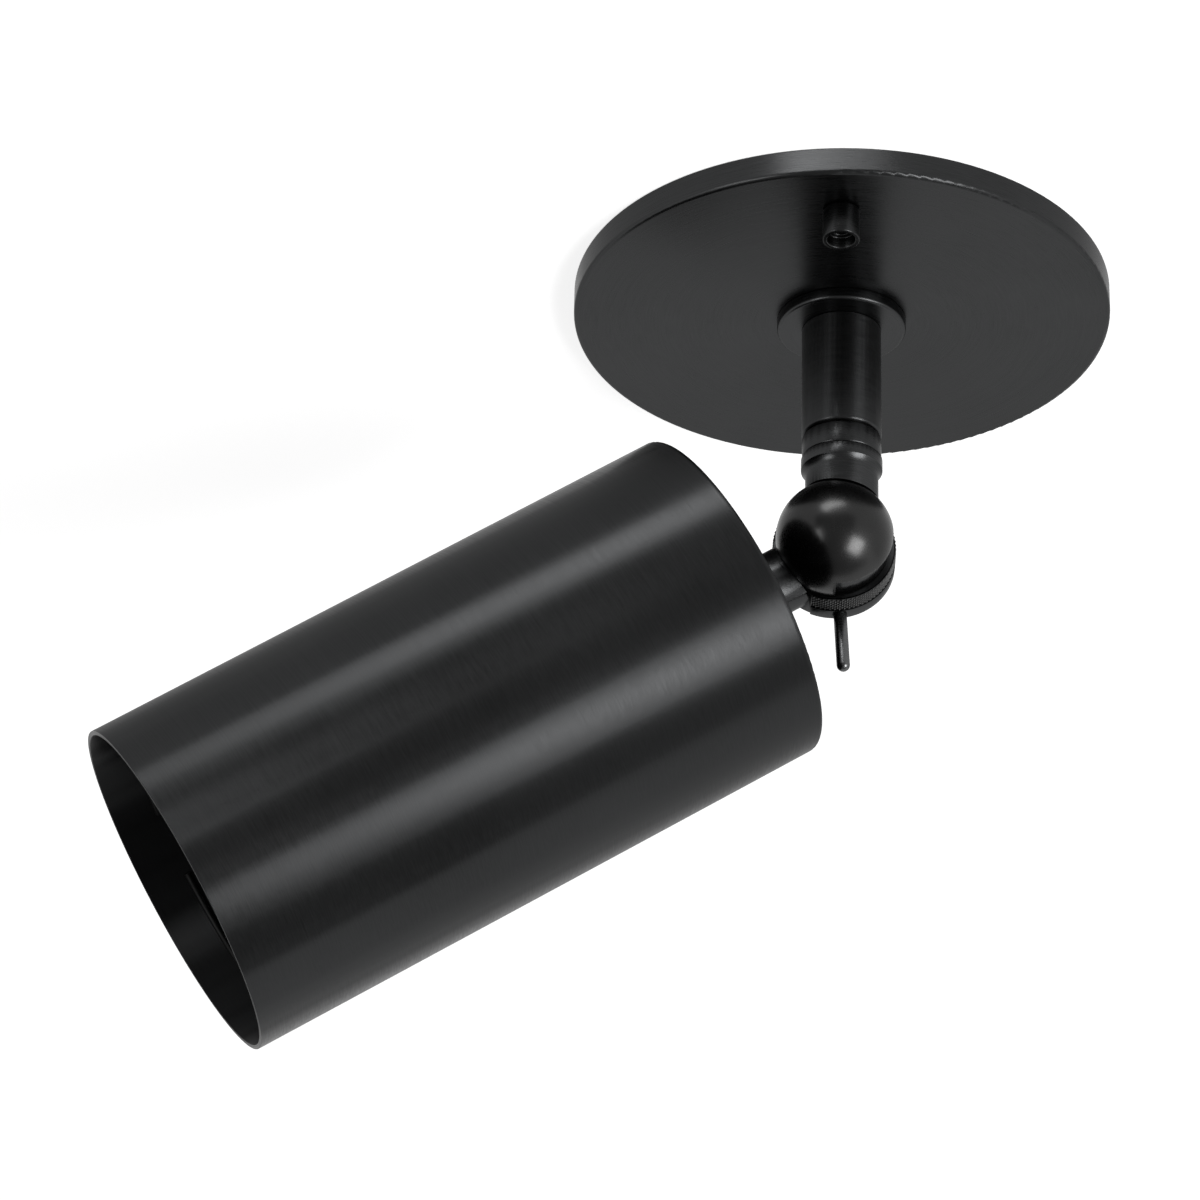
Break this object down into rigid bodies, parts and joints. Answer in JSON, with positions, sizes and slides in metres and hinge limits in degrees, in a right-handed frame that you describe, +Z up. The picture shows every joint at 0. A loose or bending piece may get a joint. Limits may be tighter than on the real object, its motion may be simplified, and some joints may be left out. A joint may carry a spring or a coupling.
{
  "type": "ceiling spotlight",
  "caption": "Black ceiling spotlight: round canopy, short stem, turning collar, ball knuckle with lock lever, and a long plain cylinder shade round a recessed reflector lamp.",
  "frame": {"origin": "on the ceiling plane, at the centre of the canopy and of the strap, on the stem's axis", "axes": "+Z up through the stem into the ceiling; the shade points to -X and down; +Y away from the side that the ball cap faces"},
  "size_m": [0.2394, 0.13, 0.197],
  "materials": {
    "zinc_steel": "zinc plated",
    "green_screw": "green",
    "black_canopy": "satin black",
    "black_nut": "satin black",
    "black_stem": "satin black",
    "black_casting": "satin black",
    "black_lever": "satin black",
    "black_shade": "brushed satin black",
    "brass_tube": "plain",
    "brass_shell": "plain",
    "brass_cap": "plain",
    "washer_plastic": "natural",
    "holder_plastic": "moulded, off-white",
    "lamp_mirror": "aluminised glass",
    "lamp_glass": "clear, frosted inside",
    "ring_wire": "spring wire"
  },
  "bodies": {
    "mount": {"ceiling_strap": "zinc_steel", "ground_screw": "green_screw", "stud_front": "zinc_steel", "stud_rear": "zinc_steel", "canopy": "black_canopy", "nipple": "brass_tube", "nipple_nut": "zinc_steel", "lock_washer": "zinc_steel", "flange_ring": "black_stem", "stem_sleeve": "black_stem", "swivel_tube": "brass_tube"},
    "nut_front": {"canopy_nut_front": "black_nut"},
    "nut_rear": {"canopy_nut_rear": "black_nut"},
    "swivel": {"swivel_washer": "washer_plastic", "stop_pin": "zinc_steel", "swivel_collar": "black_stem", "neck": "black_casting"},
    "head": {"ball_cap": "black_casting", "friction_washer_front": "washer_plastic", "friction_washer_rear": "washer_plastic", "arm_hub": "black_casting", "pivot_bolt": "zinc_steel", "spring_washer": "zinc_steel", "hub_cover": "black_casting", "boss_washer_small": "black_stem", "boss_washer_large": "black_stem", "shade": "black_shade", "arm_nut": "zinc_steel", "holder_bracket": "zinc_steel", "holder_screw_left": "zinc_steel", "holder_screw_right": "zinc_steel", "lamp_holder": "holder_plastic", "screw_shell": "brass_shell", "centre_contact": "brass_shell", "retaining_ring": "ring_wire"},
    "lever": {"lock_lever": "black_lever"},
    "lamp": {"lamp_cap": "brass_cap", "lamp_reflector": "lamp_mirror", "lamp_burner": "lamp_glass", "lamp_lens": "lamp_glass"}
  },
  "joints": [
    {"name": "pan", "type": "hinge", "parent": "mount", "child": "swivel", "pos_m": [0, 0, -0.0404], "axis": [0, 0, 1], "range_deg": [-172.5, 167]},
    {"name": "tilt", "type": "hinge", "parent": "swivel", "child": "head", "pos_m": [-0.0016, -0.00007, -0.0675], "axis": [0.0419, -0.9991, 0], "range_deg": [-31.5, 125]},
    {"name": "lock", "type": "hinge", "parent": "head", "child": "lever", "pos_m": [-0.00124, 0.01046, -0.06746], "axis": [0.054, 0.0023, -0.9985], "continuous": true},
    {"name": "lamp_screw", "type": "hinge", "parent": "head", "child": "lamp", "pos_m": [-0.08628, -0.00252, -0.12064], "axis": [-0.8464, -0.0355, -0.5314], "continuous": true},
    {"name": "nut_front_turn", "type": "hinge", "parent": "mount", "child": "nut_front", "pos_m": [0, -0.049, -0.0111], "axis": [0, 0, 1], "continuous": true},
    {"name": "nut_rear_turn", "type": "hinge", "parent": "mount", "child": "nut_rear", "pos_m": [0, 0.049, -0.0111], "axis": [0, 0, 1], "continuous": true}
  ]
}
